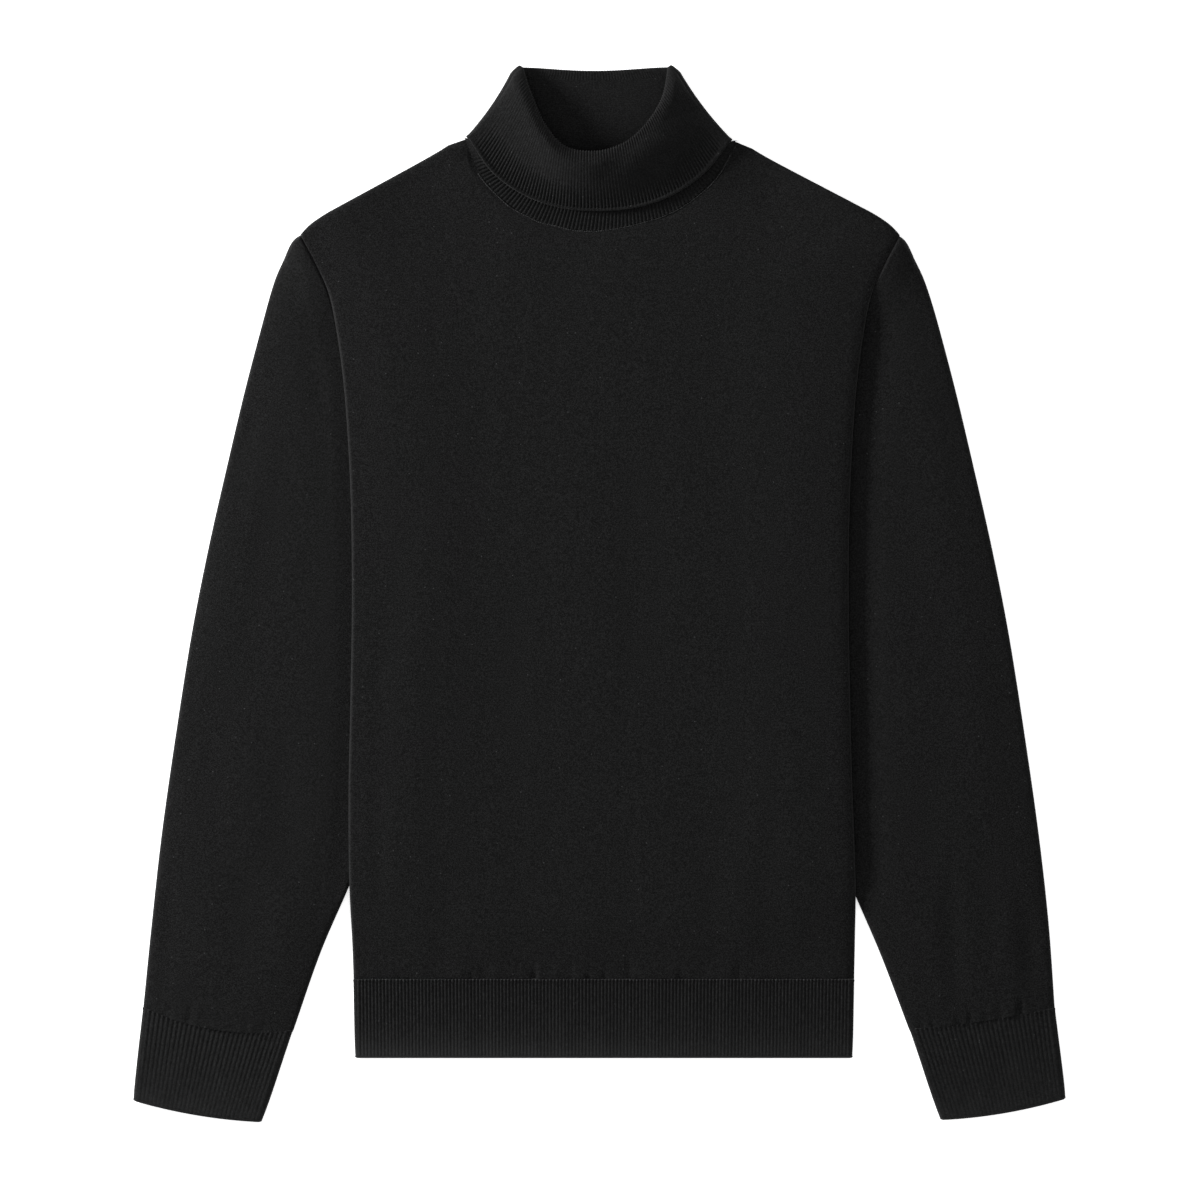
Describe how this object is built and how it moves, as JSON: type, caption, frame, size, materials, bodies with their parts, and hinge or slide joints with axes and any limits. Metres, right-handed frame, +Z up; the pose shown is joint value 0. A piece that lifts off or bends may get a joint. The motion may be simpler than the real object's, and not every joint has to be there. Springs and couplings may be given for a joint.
{
  "type": "turtleneck sweater",
  "caption": "Fine-knit long-sleeved turtleneck sweater laid out flat, with a turned-down ribbed collar, ribbed cuffs and a ribbed hem",
  "frame": {"origin": "centre of the laid garment's outline, on the flat surface it rests on", "axes": "+Y runs up the body to the collar, +X towards the wearer's left sleeve, +Z up from the surface through the garment's thickness"},
  "size_m": [0.692, 0.7851, 0.0238],
  "materials": {
    "jersey": "matt black fine-gauge wool jersey with a soft short nap",
    "rib": "matt black wool rib knit, one plain to one purl"
  },
  "bodies": {
    "root": {"front": "jersey", "back": "jersey", "right_sleeve": "jersey", "left_sleeve": "jersey", "right_cuff": "rib", "left_cuff": "rib", "hem": "rib", "collar": "rib"}
  },
  "joints": []
}
